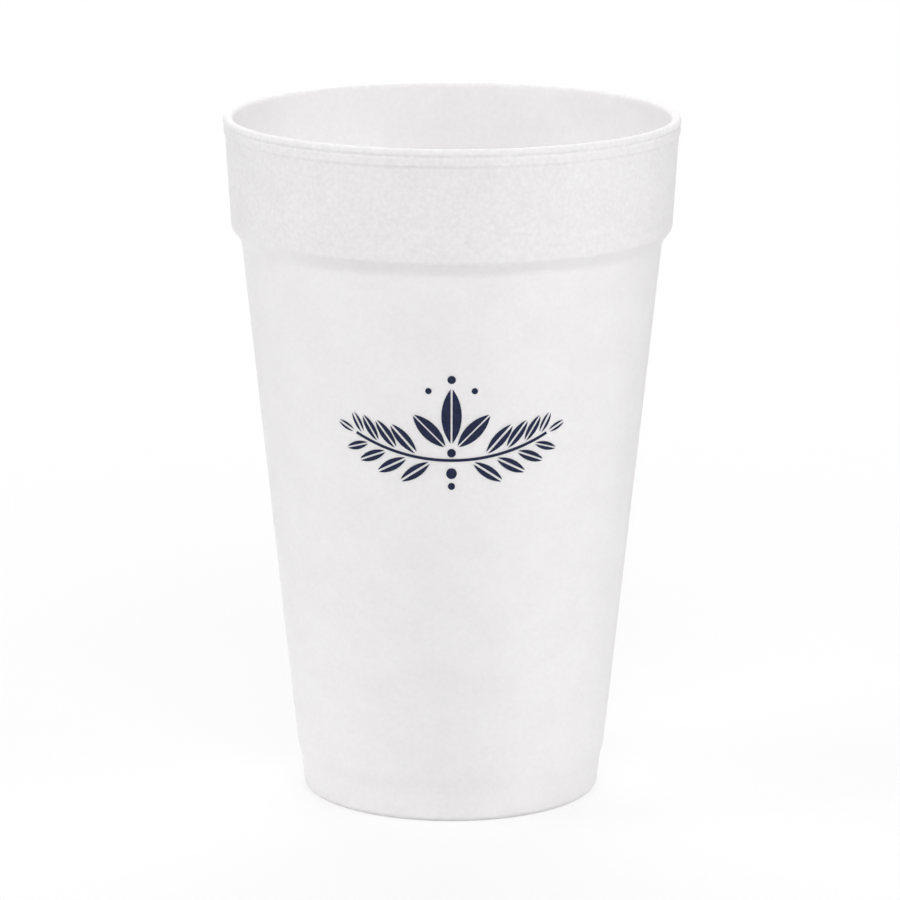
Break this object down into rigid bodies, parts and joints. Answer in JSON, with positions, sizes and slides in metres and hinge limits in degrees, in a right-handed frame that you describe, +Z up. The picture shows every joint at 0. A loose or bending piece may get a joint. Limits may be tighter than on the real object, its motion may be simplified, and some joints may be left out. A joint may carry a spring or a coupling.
{
  "type": "foam cup",
  "caption": "Tall tapered drinking cup moulded from white foam, with a wide raised band and a beaded lip at its mouth, a stepped-in foot and a hollowed underside.",
  "frame": {"origin": "middle of the foot, on the surface that the cup stands on", "axes": "+Z up along the axis of the cup, towards its mouth; -Y is the side with the ornament"},
  "size_m": [0.094, 0.094, 0.142],
  "materials": {
    "foam": "satin white moulded bead foam",
    "ink": "flat navy printing ink"
  },
  "bodies": {
    "root": {"cup": "foam"}
  },
  "joints": []
}
